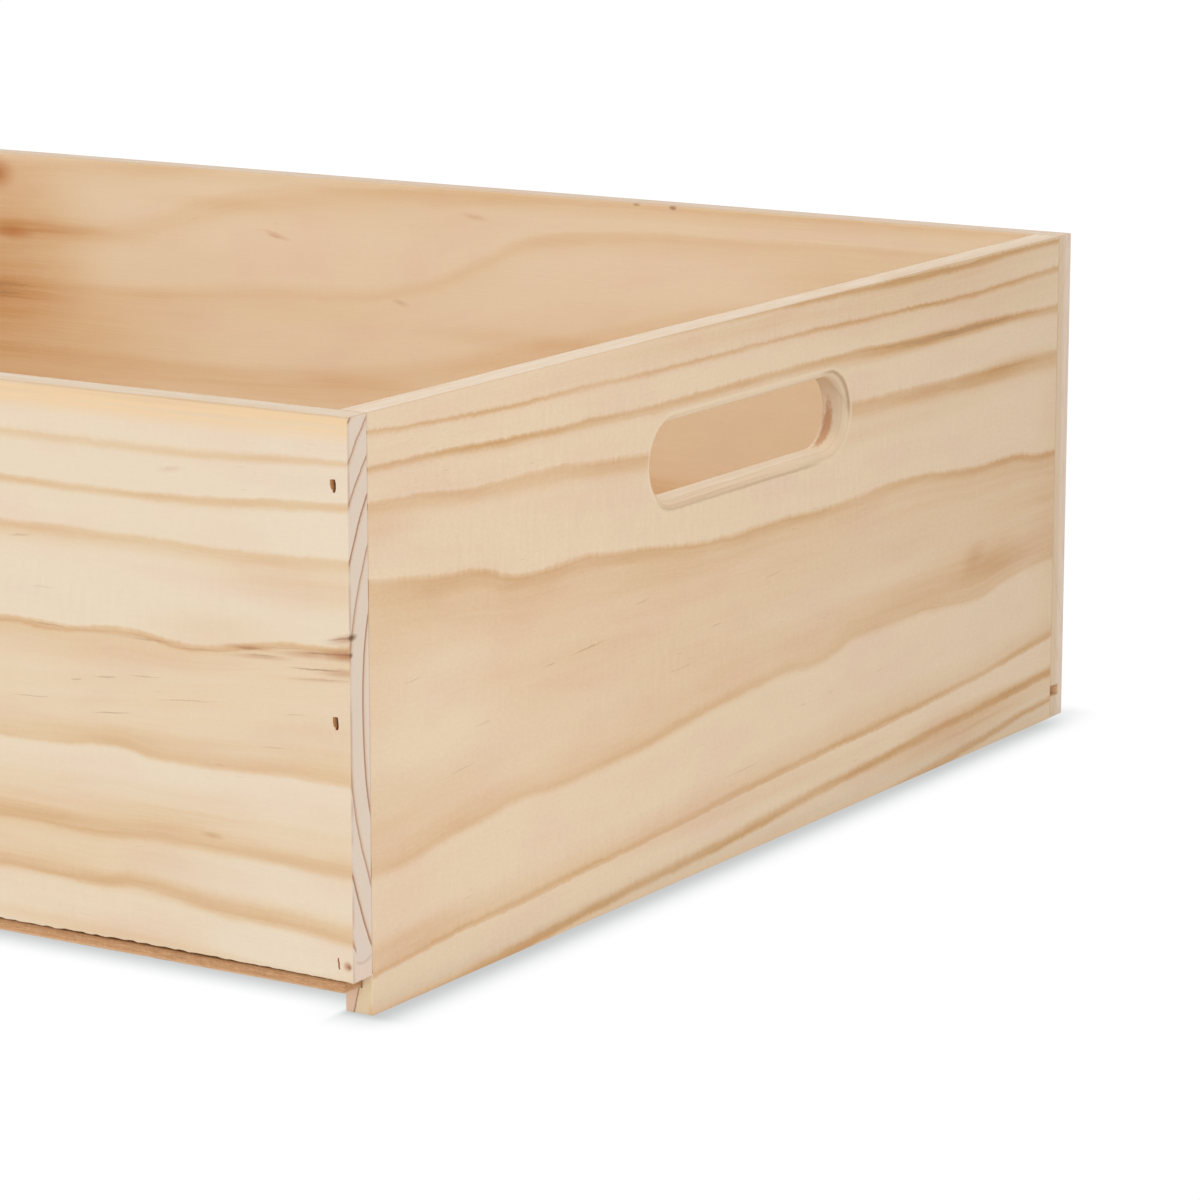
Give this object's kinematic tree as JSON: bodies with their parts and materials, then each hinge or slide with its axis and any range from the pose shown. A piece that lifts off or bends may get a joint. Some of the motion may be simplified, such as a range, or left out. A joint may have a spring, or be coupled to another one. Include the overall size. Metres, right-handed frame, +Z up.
{
  "type": "wooden apple crate",
  "caption": "Shallow open-topped pine crate with lapped side boards, a hand hole through each end board and a thin grooved-in bottom panel; held with brads.",
  "frame": {"origin": "centre of the crate's footprint, on the ground plane the end boards and the back board stand on", "axes": "+X along the crate's length, towards the right end board; +Y across its width, towards the full-height back board, so the shorter front board faces -Y; +Z up, out of the open top"},
  "size_m": [0.6, 0.4, 0.156],
  "materials": {
    "side_pine": "planed, unfinished, matt",
    "end_pine": "planed, unfinished, matt, with faint planer chatter",
    "fibreboard": "smooth brown hardboard",
    "brad_steel": "dull"
  },
  "bodies": {
    "root": {"front_side_board": "side_pine", "back_side_board": "side_pine", "left_end_board": "end_pine", "right_end_board": "end_pine", "bottom_panel": "fibreboard", "brad_front_left_top": "brad_steel", "brad_front_left_middle": "brad_steel", "brad_front_left_bottom": "brad_steel", "brad_front_right_top": "brad_steel", "brad_front_right_middle": "brad_steel", "brad_front_right_bottom": "brad_steel", "brad_back_left_top": "brad_steel", "brad_back_left_middle": "brad_steel", "brad_back_left_bottom": "brad_steel", "brad_back_right_top": "brad_steel", "brad_back_right_middle": "brad_steel", "brad_back_right_bottom": "brad_steel", "panel_brad_1": "brad_steel", "panel_brad_2": "brad_steel", "panel_brad_3": "brad_steel", "panel_brad_4": "brad_steel", "panel_brad_5": "brad_steel"}
  },
  "joints": []
}
